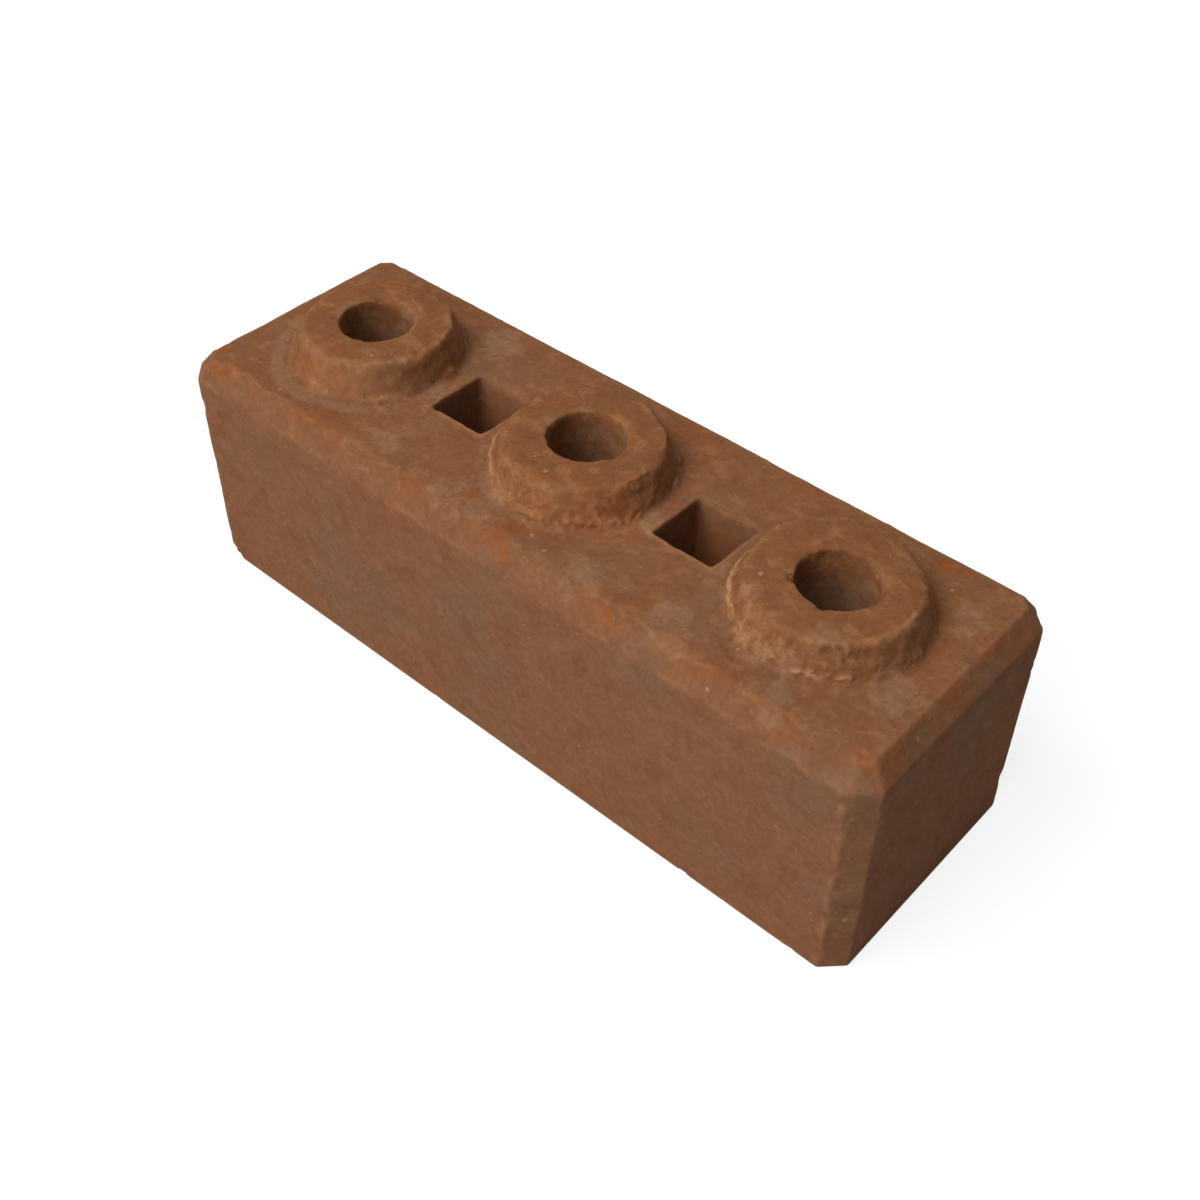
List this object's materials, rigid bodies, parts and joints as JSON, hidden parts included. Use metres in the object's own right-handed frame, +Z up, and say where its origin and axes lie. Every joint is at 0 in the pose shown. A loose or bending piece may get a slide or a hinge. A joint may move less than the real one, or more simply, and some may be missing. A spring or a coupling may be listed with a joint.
{
  "type": "interlocking brick",
  "caption": "Fired-clay wall brick with conical bosses on top, matching sockets in its bed, round bores, square ducts and chamfered edges.",
  "frame": {"origin": "centre of the flat bed face, at floor level", "axes": "+X along the brick, +Y across its width, +Z up through the bosses"},
  "size_m": [0.3, 0.1, 0.105],
  "materials": {
    "fired_clay": "matte"
  },
  "bodies": {
    "root": {"interlocking_brick": "fired_clay"}
  },
  "joints": []
}
